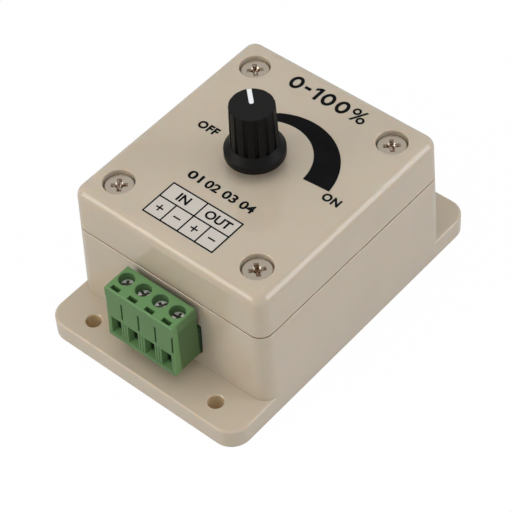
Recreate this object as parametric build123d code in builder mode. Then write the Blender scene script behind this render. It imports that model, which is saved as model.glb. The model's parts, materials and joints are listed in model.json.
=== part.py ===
from build123d import *

import os
from math import radians, sqrt, tan

# A knob-operated LED dimmer: a flanged two-part box, a circuit board with a rotary
# potentiometer, and a four-way screw terminal that plugs into a header in the front wall.
# Millimetres, +Z up, terminal towards -Y. The solids are drawn about the knob's axis, and the
# files have their origin at the bottom centre of the flange plate.

# Box
box_width = 57.1
body_length = 64.3
box_height = 38.1
parting_height = 25.8
draft = 2.2
body_corner = 4.3
lid_edge = 2.9
parting_bevel = 0.12
parting_gap = 0.5
parting_gap_depth = 1.0
wall = 2.4
floor = 2.5
lid_top = 2.5
cavity_corner = 2.0
lip_height = 1.8
lip_thickness = 1.0
box_fit = 0.15

# Flange plate with two mounting ears
ear_front = 11.5
ear_back = 9.95
plate_height = 5.2
plate_corner = 5.0
plate_edge = 0.6
mount_hole = 3.7
mount_inset_x = 9.95
mount_inset_y = 5.6
hole_bevel = 0.2

# Lid screws, in counterbores at the corners
lid_screw_inset_x = 8.5
lid_screw_inset_y = 9.05
lid_screw_bore = 7.4
lid_bore_bevel = 0.15
lid_screw_head = 6.9
lid_screw_head_height = 2.4
lid_screw_sink = 1.1
lid_screw_shank = 3.0
lid_screw_length = 18.0
lid_screw_edge = 0.25
cross_span = 3.9
cross_arm = 1.1
cross_depth = 1.5
cross_taper = 16.0
cross_cone = 2.2
cross_angles = (40.0, 46.0, 50.0, 43.0)
screw_fit = 0.1
post_diameter = 8.0
boss_wall = 1.1
rib_thickness = 1.6
rib_drop = 1.0

# Circuit board on standoffs
standoff_height = 5.6
standoff_diameter = 6.0
board_thickness = 1.6
board_gap = 0.8
board_screw_inset = 4.2
board_screw_head = 5.0
board_screw_head_height = 1.8
board_screw_edge = 0.6
board_screw_shank = 2.4
board_screw_length = 7.0
lead_hole_fit = 0.2
lead_reach = 1.4

# Terminal: header on the board, plug outside the wall
poles = 4
pitch = 5.0
header_reach = 0.55
header_depth = 12.0
header_height = 8.5
header_wall = 0.6
header_inset = 0.4
header_back = 1.6
header_catch = 1.7
header_catch_rise = 0.25
header_catch_drop = 0.9
header_fit = 0.3
pin_size = 1.0
pin_height = 5.0
pin_inset = 1.4
plug_gap = 0.1
plug_depth = 7.4
front_lean = 0.77
plug_height = 15.6
plug_rise = 0.6
plug_edge = 0.2
nose_length = 7.2
nose_fit = 0.2
fascia_height = 2.7
fascia_step = 0.25
ledge_height = 1.0
ledge_step = 0.08
side_step = 0.15
side_step_inset = 1.4
well_diameter = 3.75
well_inset = 3.0
well_bevel = 0.12
test_slot_width = 2.5
test_slot_depth = 1.15
test_slot_drop = 2.6
test_slot_inset = 0.27
panel_slot_width = 0.5
panel_slot_depth = 0.9
panel_slot_height = 5.45
panel_slot_offset = 2.05
entry_width = 3.1
entry_height = 5.3
entry_sill = 0.1
entry_taper = 15.0
rib_line_width = 0.25
rib_line_depth = 0.1
rib_line_spacing = 0.8
pocket_width = 4.0
pocket_length = 4.8
pocket_floor = 0.7
shelf = 1.1
cage_fit = 0.15
cage_height = 7.0
cage_wall = 0.5
cage_floor = 0.6
cage_roof = 1.4
cage_lift = 2.4
clamp_head = 3.45
clamp_head_height = 2.3
clamp_shank = 2.5
clamp_head_edge = 0.3
clamp_slot = 0.7
clamp_cross = 2.5
clamp_slot_depth = 0.9
clamp_slot_angles = (35.0, -20.0, 62.0, 8.0)
contact_width = 1.5
contact_thickness = 0.8
leaf_thickness = 0.5
tunnel_width = 1.8
tunnel_height = 4.6

# Potentiometer, standing on the board at the centre of the box
pot_diameter = 16.4
pot_case_height = 7.4
pot_case_wall = 0.7
wafer_thickness = 1.6
bushing_diameter = 7.0
bushing_flange = 11.0
bushing_flange_height = 1.2
bushing_length = 6.0
bushing_bevel = 0.2
shaft_diameter = 6.0
shaft_flat = 1.5
shaft_flat_length = 10.0
shaft_engagement = 11.8
shaft_fit = 0.06
shaft_clearance = 0.6
shaft_bevel = 0.3
rotor_diameter = 13.0
rotor_thickness = 1.6
rotor_gap = 1.8
wiper_diameter = 9.6
wiper_sheet = 0.3
wiper_arm = 1.8
wiper_reach = 6.2
pot_pin_count = 3
pot_pin_spacing = 5.0
pot_pin_size = 0.9
pot_pin_offset = -6.2

# Knob
knob_gap = 3.0
knob_height = 14.75
skirt_diameter = 14.0
skirt_band = 1.9
flange_rise = 1.7
knob_foot_diameter = 10.9
knob_top_diameter = 10.3
knob_top_edge = 0.35
skirt_edge = 0.25
foot_fillet = 0.6
flutes = 14
flute_radius = 0.45
flute_circle = 10.7
flute_drop = 0.0
skirt_recess = 10.6
skirt_recess_depth = 2.6
pointer_angle = 137.5
pointer_width = 1.1
pointer_start = 0.75
pointer_depth = 0.6
pointer_fit = 0.03

# Parts soldered to the board
transistor_inset = 5.2
transistor_width = 10.0
transistor_body_height = 9.0
transistor_body_depth = 3.2
transistor_body_bevel = 0.4
transistor_tab_height = 15.6
transistor_tab_thickness = 1.3
transistor_tab_hole = 3.6
transistor_stand = 4.0
transistor_lead_count = 3
transistor_lead_pitch = 2.54
transistor_lead = 0.8
capacitor_diameter = 8.0
capacitor_height = 11.5
capacitor_edge = 0.6
capacitor_reach = 3.859
capacitor_y = -7.0
capacitor_lead_pitch = 3.5
capacitor_lead = 0.6
chip_length = 4.9
chip_width = 3.9
chip_height = 1.5
chip_stand = 0.15
chip_offset = 6.5
chip_bevel = 0.2
chip_lead_columns = 4
chip_lead_pitch = 1.27
chip_lead_width = 0.42
chip_lead_sheet = 0.2
chip_lead_foot = 1.05
diode_length = 6.9
diode_width = 5.9
diode_height = 2.3
diode_bevel = 0.3
diode_reach = 3.859
diode_y = 7.0
diode_tab_width = 3.0
diode_tab_sheet = 0.25
diode_tab_reach = 0.6
resistor_length = 3.2
resistor_width = 1.6
resistor_height = 0.6
resistor_count = 4
resistor_spacing = 3.0
resistor_inset = 4.15


def inset_at(height):
    """How far the drafted walls lean in at a height above the plate."""
    return tan(radians(draft)) * (height - plate_height)


# Box sizes that follow from the driving ones
rim_inset = inset_at(parting_height)
rim_width = box_width - 2 * rim_inset
rim_length = body_length - 2 * rim_inset
rim_corner = body_corner - rim_inset
cavity_width = rim_width - 2 * wall
cavity_length = rim_length - 2 * wall
step_grow = lip_thickness + 2 * box_fit
lid_screw_dx = box_width - 2 * lid_screw_inset_x
lid_screw_dy = body_length - 2 * lid_screw_inset_y
mount_dx = box_width - 2 * mount_inset_x
plate_length = body_length + ear_front + ear_back
plate_shift = (ear_back - ear_front) / 2
mount_dy = plate_length - 2 * mount_inset_y
lid_screw_seat = box_height - lid_screw_sink - lid_screw_head_height
boss_diameter = lid_screw_bore + 2 * boss_wall

# Board sizes and levels
board_bottom = floor + standoff_height
board_top = board_bottom + board_thickness
board_width = cavity_width - 2 * board_gap
board_length = cavity_length - 2 * board_gap
board_neck = lid_screw_dx - post_diameter - 2 * board_gap
board_waist = lid_screw_dy - post_diameter - 2 * board_gap
board_screw_dx = board_width - 2 * board_screw_inset
board_screw_dy = board_waist - 2 * board_screw_inset
lead_bottom = board_bottom - lead_reach

# Terminal sizes and levels
terminal_width = poles * pitch
header_width = terminal_width - 2 * header_inset
window_width = header_width + 2 * header_fit
header_front = -body_length / 2 - header_reach
header_rear = header_front + header_depth
header_top = board_top + header_height
pin_z = board_top + pin_height
pin_drop_y = header_rear + pin_inset
plug_back = header_front - plug_gap
plug_front = plug_back - plug_depth
plug_bottom = board_top + plug_rise
plug_top = plug_bottom + plug_height
well_y = plug_back - well_inset
ledge_top = plug_bottom + ledge_height
fascia_bottom = plug_top - fascia_height
entry_bottom = ledge_top + entry_sill
entry_top = entry_bottom + entry_height
pocket_bottom = plug_bottom + pocket_floor
cage_bottom = pocket_bottom + cage_fit
pocket_top = cage_bottom + cage_height + cage_lift + cage_fit
clamp_seat = pocket_top + shelf
well_depth = plug_top - clamp_seat
entry_back = well_y - pocket_length / 2
cage_window_top = cage_bottom + cage_height - cage_roof
contact_top = cage_window_top - cage_fit
contact_bottom = contact_top - contact_thickness
nose_width = header_width - 2 * header_wall - 2 * nose_fit
nose_bottom = board_top + header_wall + nose_fit
nose_top = header_top - header_wall - nose_fit
nose_end = plug_back + nose_length

# Potentiometer and knob levels
case_bottom = board_top + wafer_thickness
case_top = case_bottom + pot_case_height
bushing_top = case_top + bushing_flange_height + bushing_length
rotor_bottom = case_bottom + rotor_gap
knob_bottom = box_height + knob_gap
knob_top = knob_bottom + knob_height
shaft_top = knob_bottom + shaft_engagement
skirt_top = knob_bottom + skirt_band
flange_top = skirt_top + flange_rise
bore_top = shaft_top + 2 * shaft_fit

# Places on the board
transistor_x = -board_width / 2 + transistor_inset
transistor_lead_x = transistor_x + transistor_tab_thickness + transistor_body_depth / 2
transistor_bottom = board_top + transistor_stand
capacitor_x = pot_diameter / 2 + capacitor_reach
diode_x = pot_diameter / 2 + diode_reach
resistor_y = board_length / 2 - resistor_inset
chip_y = resistor_y - chip_offset


def front_at(height):
    """Where the plug's leaning front stands along Y at a height."""
    return plug_front - front_lean * (plug_top - height) / plug_height


def pole_grid():
    """One place for each pole of the terminal, along X."""
    return GridLocations(pitch, 0, poles, 1)


def pole_x(pole):
    """Where a pole of the terminal stands along X."""
    return (pole - (poles - 1) / 2) * pitch


def square_hole(size):
    """Radius of a round hole that a square lead passes through."""
    return (size * sqrt(2) + lead_hole_fit) / 2


# Base: flange plate, drafted walls, posts, standoffs and the window for the header
with BuildPart() as base_housing:
    with BuildSketch():
        with Locations((0, plate_shift)):
            RectangleRounded(box_width, plate_length, plate_corner)
    extrude(amount=plate_height)
    fillet(base_housing.faces().sort_by(Axis.Z)[-1].edges(), plate_edge)
    with BuildSketch():
        RectangleRounded(box_width, body_length, body_corner)
    extrude(amount=plate_height)
    with BuildSketch(Plane.XY.offset(plate_height)):
        RectangleRounded(box_width, body_length, body_corner)
    extrude(amount=parting_height - plate_height, taper=draft)
    chamfer(base_housing.faces().sort_by(Axis.Z)[-1].edges(), parting_bevel)
    with BuildSketch(Plane.XY.offset(floor)):
        RectangleRounded(cavity_width, cavity_length, cavity_corner)
    extrude(amount=parting_height - floor, mode=Mode.SUBTRACT)
    with BuildSketch(Plane.XY.offset(parting_height - lip_height - box_fit)):
        RectangleRounded(cavity_width + 2 * step_grow, cavity_length + 2 * step_grow, cavity_corner)
    extrude(amount=lip_height + box_fit, mode=Mode.SUBTRACT)
    with BuildSketch(Plane.XY.offset(floor)):
        with GridLocations(lid_screw_dx, lid_screw_dy, 2, 2):
            Circle(post_diameter / 2)
    extrude(amount=parting_height - floor)
    with BuildSketch(Plane.XY.offset(floor)):
        for side in (-1, 1):
            for end in (-1, 1):
                rib_x = (lid_screw_dx / 2 + cavity_width / 2) / 2
                rib_y = (lid_screw_dy / 2 + cavity_length / 2) / 2
                with Locations((side * rib_x, end * lid_screw_dy / 2)):
                    Rectangle(cavity_width / 2 - lid_screw_dx / 2 + wall, rib_thickness)
                with Locations((side * lid_screw_dx / 2, end * rib_y)):
                    Rectangle(rib_thickness, cavity_length / 2 - lid_screw_dy / 2 + wall)
    extrude(amount=parting_height - lip_height - rib_drop - floor)
    with Locations((0, 0, parting_height)):
        with GridLocations(lid_screw_dx, lid_screw_dy, 2, 2):
            Hole(lid_screw_shank / 2 + screw_fit / 2, lid_screw_length)
    with BuildSketch(Plane.XY.offset(floor)):
        with GridLocations(board_screw_dx, board_screw_dy, 2, 2):
            Circle(standoff_diameter / 2)
    extrude(amount=standoff_height)
    with Locations((0, 0, board_bottom)):
        with GridLocations(board_screw_dx, board_screw_dy, 2, 2):
            Hole(board_screw_shank / 2 + screw_fit / 2, board_screw_length - board_thickness + screw_fit)
    with Locations((0, -rim_length / 2 + wall / 2, board_top - header_fit)):
        Box(
            window_width,
            2 * (wall + rim_inset),
            header_height + 2 * header_fit,
            align=(Align.CENTER, Align.CENTER, Align.MIN),
            mode=Mode.SUBTRACT,
        )
    with Locations((0, plate_shift)):
        with GridLocations(mount_dx, mount_dy, 2, 2):
            Hole(mount_hole / 2)
    ear_mouths = [
        edge
        for edge in base_housing.edges().filter_by(GeomType.CIRCLE)
        if abs(edge.radius - mount_hole / 2) < 1e-6 and abs(edge.center().Z - plate_height) < 1e-6
    ]
    chamfer(ear_mouths, hole_bevel)
base_housing.part.label = "base_housing"

# Lid: drafted shell with a lip and counterbored bosses
with BuildPart() as lid:
    with BuildSketch(Plane.XY.offset(parting_height)):
        RectangleRounded(rim_width, rim_length, rim_corner)
    extrude(amount=box_height - parting_height, taper=draft)
    fillet(lid.faces().sort_by(Axis.Z)[-1].edges(), lid_edge)
    with BuildSketch(Plane.XY.offset(parting_height)):
        RectangleRounded(cavity_width, cavity_length, cavity_corner)
    extrude(amount=box_height - lid_top - parting_height, mode=Mode.SUBTRACT)
    with BuildSketch(Plane.XY.offset(parting_height)):
        RectangleRounded(rim_width, rim_length, rim_corner)
        RectangleRounded(
            rim_width - 2 * parting_gap_depth,
            rim_length - 2 * parting_gap_depth,
            rim_corner - parting_gap_depth,
            mode=Mode.SUBTRACT,
        )
    extrude(amount=parting_gap, mode=Mode.SUBTRACT)
    with BuildSketch(Plane.XY.offset(parting_height - lip_height)):
        RectangleRounded(
            cavity_width + 2 * (step_grow - box_fit),
            cavity_length + 2 * (step_grow - box_fit),
            cavity_corner,
        )
        RectangleRounded(
            cavity_width + 2 * box_fit,
            cavity_length + 2 * box_fit,
            cavity_corner,
            mode=Mode.SUBTRACT,
        )
    extrude(amount=lip_height)
    with BuildSketch(Plane.XY.offset(parting_height)):
        with GridLocations(lid_screw_dx, lid_screw_dy, 2, 2):
            Circle(boss_diameter / 2)
    extrude(amount=box_height - lid_top - parting_height)
    with Locations((0, 0, box_height)):
        with GridLocations(lid_screw_dx, lid_screw_dy, 2, 2):
            CounterBoreHole(
                lid_screw_shank / 2 + screw_fit, lid_screw_bore / 2, box_height - lid_screw_seat
            )
        Hole(shaft_diameter / 2 + shaft_clearance)
    bore_mouths = [
        edge
        for edge in lid.edges().filter_by(GeomType.CIRCLE)
        if abs(edge.radius - lid_screw_bore / 2) < 1e-6 and abs(edge.center().Z - box_height) < 1e-6
    ]
    chamfer(bore_mouths, lid_bore_bevel)
lid.part.label = "lid"

# Lid screws: flat heads with a cross recess
with BuildPart() as lid_screws:
    with BuildSketch(Plane.XY.offset(lid_screw_seat)):
        with GridLocations(lid_screw_dx, lid_screw_dy, 2, 2):
            Circle(lid_screw_head / 2)
    extrude(amount=lid_screw_head_height)
    chamfer(lid_screws.edges().group_by(Axis.Z)[-1], lid_screw_edge)
    with BuildSketch(Plane.XY.offset(lid_screw_seat + lid_screw_head_height)):
        for place, angle in zip(GridLocations(lid_screw_dx, lid_screw_dy, 2, 2), cross_angles):
            with Locations(place):
                Rectangle(cross_span, cross_arm, rotation=angle)
                Rectangle(cross_arm, cross_span, rotation=angle)
    extrude(amount=-cross_depth, taper=cross_taper, mode=Mode.SUBTRACT)
    with Locations((0, 0, lid_screw_seat + lid_screw_head_height)):
        with GridLocations(lid_screw_dx, lid_screw_dy, 2, 2):
            Cone(
                0,
                cross_cone / 2,
                cross_depth,
                align=(Align.CENTER, Align.CENTER, Align.MAX),
                mode=Mode.SUBTRACT,
            )
    with BuildSketch(Plane.XY.offset(lid_screw_seat)):
        with GridLocations(lid_screw_dx, lid_screw_dy, 2, 2):
            Circle(lid_screw_shank / 2)
    extrude(amount=-lid_screw_length)
lid_screws.part.label = "lid_screws"

# Circuit board: waisted round the posts, with holes for the leads
with BuildPart() as circuit_board:
    with BuildSketch(Plane.XY.offset(board_bottom)):
        Rectangle(board_width, board_waist)
        Rectangle(board_neck, board_length)
        with GridLocations(board_screw_dx, board_screw_dy, 2, 2):
            Circle(board_screw_shank / 2 + screw_fit, mode=Mode.SUBTRACT)
        with Locations((0, pin_drop_y)):
            with pole_grid():
                Circle(square_hole(pin_size), mode=Mode.SUBTRACT)
        with Locations((0, pot_pin_offset)):
            with GridLocations(pot_pin_spacing, 0, pot_pin_count, 1):
                Circle(square_hole(pot_pin_size), mode=Mode.SUBTRACT)
        with Locations((transistor_lead_x, 0)):
            with GridLocations(0, transistor_lead_pitch, 1, transistor_lead_count):
                Circle(square_hole(transistor_lead), mode=Mode.SUBTRACT)
        with Locations((capacitor_x, capacitor_y)):
            with GridLocations(0, capacitor_lead_pitch, 1, 2):
                Circle((capacitor_lead + lead_hole_fit) / 2, mode=Mode.SUBTRACT)
    extrude(amount=board_thickness)
circuit_board.part.label = "circuit_board"

# Board screws
with BuildPart() as board_screws:
    with BuildSketch(Plane.XY.offset(board_top)):
        with GridLocations(board_screw_dx, board_screw_dy, 2, 2):
            Circle(board_screw_head / 2)
    extrude(amount=board_screw_head_height)
    chamfer(board_screws.edges().group_by(Axis.Z)[-1], board_screw_edge)
    with BuildSketch(Plane.XY.offset(board_top)):
        with GridLocations(board_screw_dx, board_screw_dy, 2, 2):
            Circle(board_screw_shank / 2)
    extrude(amount=-board_screw_length)
board_screws.part.label = "board_screws"

# Header: an open box that the plug's nose enters, with a catch on each side of its mouth
with BuildPart() as terminal_header:
    with Locations((0, header_front, board_top)):
        Box(
            header_width,
            header_depth,
            header_height,
            align=(Align.CENTER, Align.MIN, Align.MIN),
        )
    with Locations((0, header_front, board_top + header_wall)):
        Box(
            header_width - 2 * header_wall,
            header_depth - header_back,
            header_height - 2 * header_wall,
            align=(Align.CENTER, Align.MIN, Align.MIN),
            mode=Mode.SUBTRACT,
        )
    with Locations((0, header_front, header_top - header_catch_drop)):
        Box(
            header_width + 2 * header_catch_rise,
            header_reach,
            header_catch,
            align=(Align.CENTER, Align.MIN, Align.MAX),
        )
        Box(
            header_width - 2 * header_wall,
            header_reach,
            header_catch,
            align=(Align.CENTER, Align.MIN, Align.MAX),
            mode=Mode.SUBTRACT,
        )
    with BuildSketch(Plane.XZ.offset(-header_rear)):
        with Locations((0, pin_z)):
            with pole_grid():
                Rectangle(pin_size + screw_fit, pin_size + screw_fit)
    extrude(amount=header_back, mode=Mode.SUBTRACT)
terminal_header.part.label = "terminal_header"

# Header pins: square wire, bent down through the board behind the header
with BuildPart() as header_pins:
    pin_start = header_front + pin_inset
    pin_half = pin_size / 2
    for pole in range(poles):
        with BuildSketch(Plane.YZ.offset(pole_x(pole))):
            with BuildLine():
                Polyline(
                    (pin_start, pin_z - pin_half),
                    (pin_drop_y - pin_half, pin_z - pin_half),
                    (pin_drop_y - pin_half, lead_bottom),
                    (pin_drop_y + pin_half, lead_bottom),
                    (pin_drop_y + pin_half, pin_z + pin_half),
                    (pin_start, pin_z + pin_half),
                    close=True,
                )
            make_face()
        extrude(amount=pin_half, both=True)
header_pins.part.label = "header_pins"

# Plug: side profile swept across its width, then the openings of each pole
with BuildPart() as plug_housing:
    with BuildSketch(Plane.YZ):
        with BuildLine():
            Polyline(
                (plug_back, plug_bottom),
                (front_at(plug_bottom) - ledge_step, plug_bottom),
                (front_at(ledge_top) - ledge_step, ledge_top),
                (front_at(ledge_top), ledge_top + ledge_step / 2),
                (front_at(fascia_bottom), fascia_bottom),
                (front_at(fascia_bottom) - fascia_step, fascia_bottom),
                (plug_front - fascia_step, plug_top),
                (plug_back, plug_top),
                close=True,
            )
        make_face()
    extrude(amount=terminal_width / 2, both=True)
    chamfer(plug_housing.faces().sort_by(Axis.Z)[-1].edges(), plug_edge)
    for side in (-1, 1):
        with Locations((side * terminal_width / 2, plug_front + side_step_inset, plug_bottom)):
            Box(
                2 * side_step,
                plug_depth,
                fascia_bottom - plug_bottom,
                align=(Align.CENTER, Align.MIN, Align.MIN),
                mode=Mode.SUBTRACT,
            )
    with Locations((0, plug_back, nose_bottom)):
        Box(
            nose_width,
            nose_length,
            nose_top - nose_bottom,
            align=(Align.CENTER, Align.MIN, Align.MIN),
        )
    with Locations((0, well_y, plug_top)):
        with pole_grid():
            Hole(well_diameter / 2, well_depth)
            Hole(clamp_shank / 2 + screw_fit, well_depth + 2 * shelf)
    well_mouths = [
        edge
        for edge in plug_housing.edges().filter_by(GeomType.CIRCLE)
        if abs(edge.radius - well_diameter / 2) < 1e-6 and abs(edge.center().Z - plug_top) < 1e-6
    ]
    chamfer(well_mouths, well_bevel)
    with Locations((0, plug_front + test_slot_inset, plug_top)):
        with pole_grid():
            Box(
                test_slot_width,
                test_slot_depth,
                2 * test_slot_drop,
                align=(Align.CENTER, Align.MIN, Align.CENTER),
                mode=Mode.SUBTRACT,
            )
    with Locations((panel_slot_offset, front_at(fascia_bottom), fascia_bottom)):
        with pole_grid():
            Box(
                panel_slot_width,
                2 * panel_slot_depth,
                panel_slot_height,
                align=(Align.CENTER, Align.CENTER, Align.MAX),
                mode=Mode.SUBTRACT,
            )
    entry_front = front_at(entry_bottom)
    entry_plane = Plane((0, entry_front, (entry_bottom + entry_top) / 2), (1, 0, 0), (0, 1, 0))
    with BuildSketch(entry_plane):
        with pole_grid():
            Rectangle(entry_width, entry_height)
    extrude(amount=entry_back - entry_front, taper=entry_taper, mode=Mode.SUBTRACT)
    for gap in range(1, poles):
        for side in (-1, 1):
            rib_x = pole_x(gap) - pitch / 2 + side * rib_line_spacing / 2
            with BuildSketch(Plane.YZ.offset(rib_x)):
                with BuildLine():
                    Polyline(
                        (entry_front - front_lean, ledge_top),
                        (front_at(ledge_top) + rib_line_depth, ledge_top),
                        (front_at(entry_top) + rib_line_depth, entry_top),
                        (entry_front - front_lean, entry_top),
                        close=True,
                    )
                make_face()
            extrude(amount=rib_line_width / 2, both=True, mode=Mode.SUBTRACT)
    with Locations((0, well_y, pocket_bottom)):
        with pole_grid():
            Box(
                pocket_width,
                pocket_length,
                pocket_top - pocket_bottom,
                align=(Align.CENTER, Align.CENTER, Align.MIN),
                mode=Mode.SUBTRACT,
            )
    with Locations((0, nose_end, pin_z)):
        with pole_grid():
            Box(
                tunnel_width,
                nose_end - well_y,
                tunnel_height,
                align=(Align.CENTER, Align.MAX, Align.CENTER),
                mode=Mode.SUBTRACT,
            )
plug_housing.part.label = "plug_housing"

# Plug contacts: a current bar through each cage, with two leaves round the pin
with BuildPart() as plug_contacts:
    bar_front = well_y - pocket_length / 2 + cage_fit
    leaf_gap = pin_size / 2 + shaft_fit
    fold_y = plug_back - leaf_thickness
    leaf_end = nose_end - nose_fit
    for pole in range(poles):
        with BuildSketch(Plane.YZ.offset(pole_x(pole))):
            with BuildLine():
                Polyline(
                    (bar_front, contact_bottom),
                    (fold_y, contact_bottom),
                    (fold_y, pin_z - leaf_gap - leaf_thickness),
                    (leaf_end, pin_z - leaf_gap - leaf_thickness),
                    (leaf_end, pin_z - leaf_gap),
                    (fold_y + leaf_thickness, pin_z - leaf_gap),
                    (fold_y + leaf_thickness, pin_z + leaf_gap),
                    (leaf_end, pin_z + leaf_gap),
                    (leaf_end, pin_z + leaf_gap + leaf_thickness),
                    (fold_y + leaf_thickness, pin_z + leaf_gap + leaf_thickness),
                    (fold_y + leaf_thickness, contact_top),
                    (bar_front, contact_top),
                    close=True,
                )
            make_face()
        extrude(amount=contact_width / 2, both=True)
plug_contacts.part.label = "plug_contacts"

# Clamp screws and the cages that they raise, one of each to a pole
clamp_screws = []
wire_cages = []
for pole in range(poles):
    with BuildPart() as clamp_screw:
        with Locations((pole_x(pole), well_y, clamp_seat)):
            Cylinder(clamp_head / 2, clamp_head_height, align=(Align.CENTER, Align.CENTER, Align.MIN))
        chamfer(clamp_screw.edges().group_by(Axis.Z)[-1], clamp_head_edge)
        with Locations((pole_x(pole), well_y, clamp_seat + clamp_head_height)):
            slot_turn = clamp_slot_angles[pole % len(clamp_slot_angles)]
            for slot_size in ((clamp_head, clamp_slot), (clamp_slot, clamp_cross)):
                Box(
                    *slot_size,
                    2 * clamp_slot_depth,
                    rotation=(0, 0, slot_turn),
                    mode=Mode.SUBTRACT,
                )
        with Locations((pole_x(pole), well_y, clamp_seat)):
            Cylinder(
                clamp_shank / 2,
                clamp_seat - contact_top - cage_fit / 2,
                align=(Align.CENTER, Align.CENTER, Align.MAX),
            )
    clamp_screw.part.label = f"clamp_screw_{pole + 1}"
    clamp_screws.append(clamp_screw.part)
    with BuildPart() as wire_cage:
        with Locations((pole_x(pole), well_y, cage_bottom)):
            Box(
                pocket_width - 2 * cage_fit,
                pocket_length - 2 * cage_fit,
                cage_height,
                align=(Align.CENTER, Align.CENTER, Align.MIN),
            )
        fillet(wire_cage.edges().filter_by(Axis.Y), cage_wall / 2)
        with Locations((pole_x(pole), well_y, cage_bottom + cage_floor)):
            Box(
                pocket_width - 2 * cage_fit - 2 * cage_wall,
                pocket_length,
                cage_height - cage_floor - cage_roof,
                align=(Align.CENTER, Align.CENTER, Align.MIN),
                mode=Mode.SUBTRACT,
            )
        with Locations((pole_x(pole), well_y, cage_bottom + cage_height)):
            Hole(clamp_shank / 2 + screw_fit / 2, cage_roof)
    wire_cage.part.label = f"wire_cage_{pole + 1}"
    wire_cages.append(wire_cage.part)

# Potentiometer: wafer, cup, bushing and pins
with BuildPart() as pot_wafer:
    with BuildSketch(Plane.XY.offset(board_top)):
        Circle(pot_diameter / 2)
    extrude(amount=wafer_thickness)
pot_wafer.part.label = "pot_wafer"

with BuildPart() as pot_case:
    with BuildSketch(Plane.XY.offset(case_bottom)):
        Circle(pot_diameter / 2)
    extrude(amount=pot_case_height)
    chamfer(pot_case.edges().group_by(Axis.Z)[-1], pot_case_wall)
    with BuildSketch(Plane.XY.offset(case_bottom)):
        Circle(pot_diameter / 2 - pot_case_wall)
    extrude(amount=pot_case_height - pot_case_wall, mode=Mode.SUBTRACT)
    with Locations((0, 0, case_top)):
        Hole(bushing_diameter / 2 + screw_fit / 2)
pot_case.part.label = "pot_case"

with BuildPart() as pot_bushing:
    with BuildSketch(Plane.XY.offset(case_top)):
        RegularPolygon(bushing_flange / 2, 6)
    extrude(amount=bushing_flange_height)
    with BuildSketch(Plane.XY.offset(case_top - pot_case_wall)):
        Circle(bushing_diameter / 2)
    extrude(amount=bushing_top - case_top + pot_case_wall)
    chamfer(pot_bushing.edges().group_by(Axis.Z)[-1], bushing_bevel)
    with Locations((0, 0, bushing_top)):
        Hole(shaft_diameter / 2 + shaft_fit)
pot_bushing.part.label = "pot_bushing"

with BuildPart() as pot_pins:
    with BuildSketch(Plane.XY.offset(board_top)):
        with Locations((0, pot_pin_offset)):
            with GridLocations(pot_pin_spacing, 0, pot_pin_count, 1):
                Rectangle(pot_pin_size, pot_pin_size)
    extrude(amount=lead_bottom - board_top)
pot_pins.part.label = "pot_pins"

# Shaft with its rotor, and the wiper spring under the rotor
with BuildPart() as pot_shaft:
    with BuildSketch(Plane.XY.offset(rotor_bottom)):
        Circle(rotor_diameter / 2)
    extrude(amount=rotor_thickness)
    with BuildSketch(Plane.XY.offset(rotor_bottom)):
        Circle(shaft_diameter / 2)
    extrude(amount=shaft_top - rotor_bottom)
    chamfer(pot_shaft.edges().group_by(Axis.Z)[-1], shaft_bevel)
    with Locations(Location((0, 0, shaft_top), (0, 0, pointer_angle))):
        with Locations((shaft_diameter / 2 - shaft_flat, 0)):
            Box(
                shaft_diameter,
                2 * shaft_diameter,
                2 * shaft_flat_length,
                align=(Align.MIN, Align.CENTER, Align.CENTER),
                mode=Mode.SUBTRACT,
            )
pot_shaft.part.label = "pot_shaft"

with BuildPart() as pot_wiper:
    with BuildSketch(Plane.XY.offset(rotor_bottom)):
        Circle(wiper_diameter / 2)
    extrude(amount=-wiper_sheet)
    wiper_plane = Plane(origin=(0, 0, 0), x_dir=(0, 1, 0), z_dir=(1, 0, 0))
    with BuildSketch(wiper_plane):
        with BuildLine():
            Polyline(
                (0, rotor_bottom),
                (wiper_diameter / 2, rotor_bottom),
                (wiper_reach, case_bottom + wiper_sheet + shaft_fit),
                (wiper_reach, case_bottom + shaft_fit),
                (wiper_diameter / 2, rotor_bottom - wiper_sheet),
                (0, rotor_bottom - wiper_sheet),
                close=True,
            )
        make_face()
    extrude(amount=wiper_arm / 2, both=True)
pot_wiper.part.label = "pot_wiper"

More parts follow.
